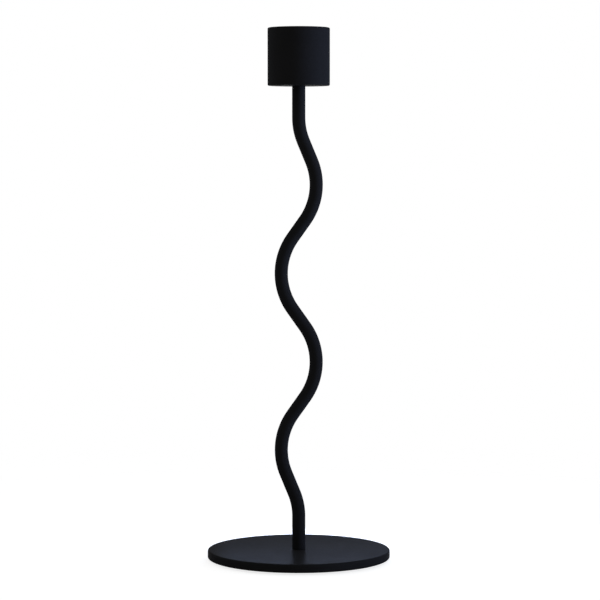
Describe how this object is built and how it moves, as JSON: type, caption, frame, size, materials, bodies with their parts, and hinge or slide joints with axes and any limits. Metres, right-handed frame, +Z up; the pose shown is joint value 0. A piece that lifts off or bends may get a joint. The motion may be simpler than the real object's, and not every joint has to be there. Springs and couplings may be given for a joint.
{
  "type": "candlestick",
  "caption": "Slim steel candlestick: a bar bent into a wave stands on a flat round plate and carries a turned cup for a taper candle.",
  "frame": {"origin": "centre of the felt pad's underside, where the candlestick rests", "axes": "+Z up along the stem's axis, out of the candle cup; the wave of the stem lies in the XZ plane, with its lowest crest towards -X; the picture looks along +Y"},
  "size_m": [0.086, 0.086, 0.25],
  "materials": {
    "black_coat": "satin black powder coat with a fine grain",
    "felt": "black self-adhesive felt",
    "zinc_steel": "bright zinc plate"
  },
  "bodies": {
    "root": {"felt_pad": "felt", "base_plate": "black_coat", "stem": "black_coat", "candle_cup": "black_coat", "base_screw": "zinc_steel", "cup_screw": "zinc_steel"}
  },
  "joints": []
}
